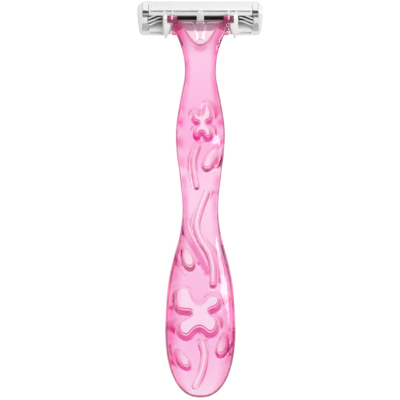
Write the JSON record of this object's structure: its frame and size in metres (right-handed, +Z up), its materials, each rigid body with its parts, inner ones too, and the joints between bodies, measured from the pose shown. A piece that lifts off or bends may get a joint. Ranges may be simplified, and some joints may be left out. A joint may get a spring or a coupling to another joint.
{
  "type": "cartridge razor",
  "caption": "Wet shaving razor with a clear moulded handle, flower relief, sprung pivoting head and floating blades.",
  "frame": {"origin": "middle of the bounding box, on the surface that the razor lies on, face down", "axes": "+Y along the handle towards the head, +X across, +Z up, out of the razor's back"},
  "size_m": [0.0428, 0.1366, 0.0164],
  "materials": {
    "clear_pink": "clear, polished",
    "white_plastic": "satin moulded",
    "lubricating_strip": "waxy",
    "soft_rubber": "matte",
    "clip_metal": "polished",
    "blade_steel": "ground edge",
    "support_steel": "dull"
  },
  "bodies": {
    "handle": {"handle": "clear_pink"},
    "tongue": {"return_tongue": "clear_pink"},
    "cartridge": {"cartridge_frame": "white_plastic", "cap": "white_plastic", "lubricating_strip": "lubricating_strip", "guard_strip": "soft_rubber", "clip_left": "clip_metal", "clip_right": "clip_metal", "spring_arm_left_1": "white_plastic", "spring_arm_left_2": "white_plastic", "spring_arm_left_3": "white_plastic", "spring_arm_right_1": "white_plastic", "spring_arm_right_2": "white_plastic", "spring_arm_right_3": "white_plastic"},
    "blade_carrier_1": {"blade_1": "blade_steel", "blade_support_1": "support_steel"},
    "blade_carrier_2": {"blade_2": "blade_steel", "blade_support_2": "support_steel"},
    "blade_carrier_3": {"blade_3": "blade_steel", "blade_support_3": "support_steel"}
  },
  "joints": [
    {"name": "head_pivot", "type": "hinge", "parent": "handle", "child": "cartridge", "pos_m": [0, 0.06268, 0.00866], "axis": [-1, 0, 0], "range_deg": [0, 35], "stiffness_Nm_per_rad": 0.02, "springref_deg": -20.05},
    {"name": "tongue_flex", "type": "hinge", "parent": "handle", "child": "tongue", "pos_m": [0, 0.05518, 0.00796], "axis": [1, 0, 0], "range_deg": [0, 11.5], "stiffness_Nm_per_rad": 0.000001, "springref_deg": 40.11},
    {"name": "blade_1_float", "type": "slide", "parent": "cartridge", "child": "blade_carrier_1", "axis": [0, -0.4695, 0.8829], "range_m": [0, 0.0004], "stiffness_N_per_m": 20, "springref_m": -0.001, "deforming": ["spring_arm_left_1", "spring_arm_right_1"]},
    {"name": "blade_2_float", "type": "slide", "parent": "cartridge", "child": "blade_carrier_2", "axis": [0, -0.4695, 0.8829], "range_m": [0, 0.0004], "stiffness_N_per_m": 20, "springref_m": -0.001, "deforming": ["spring_arm_left_2", "spring_arm_right_2"]},
    {"name": "blade_3_float", "type": "slide", "parent": "cartridge", "child": "blade_carrier_3", "axis": [0, -0.4695, 0.8829], "range_m": [0, 0.0004], "stiffness_N_per_m": 20, "springref_m": -0.001, "deforming": ["spring_arm_left_3", "spring_arm_right_3"]}
  ],
  "couplings": [
    {"joint": "tongue_flex", "follows": "head_pivot", "ratio": 0.31}
  ]
}
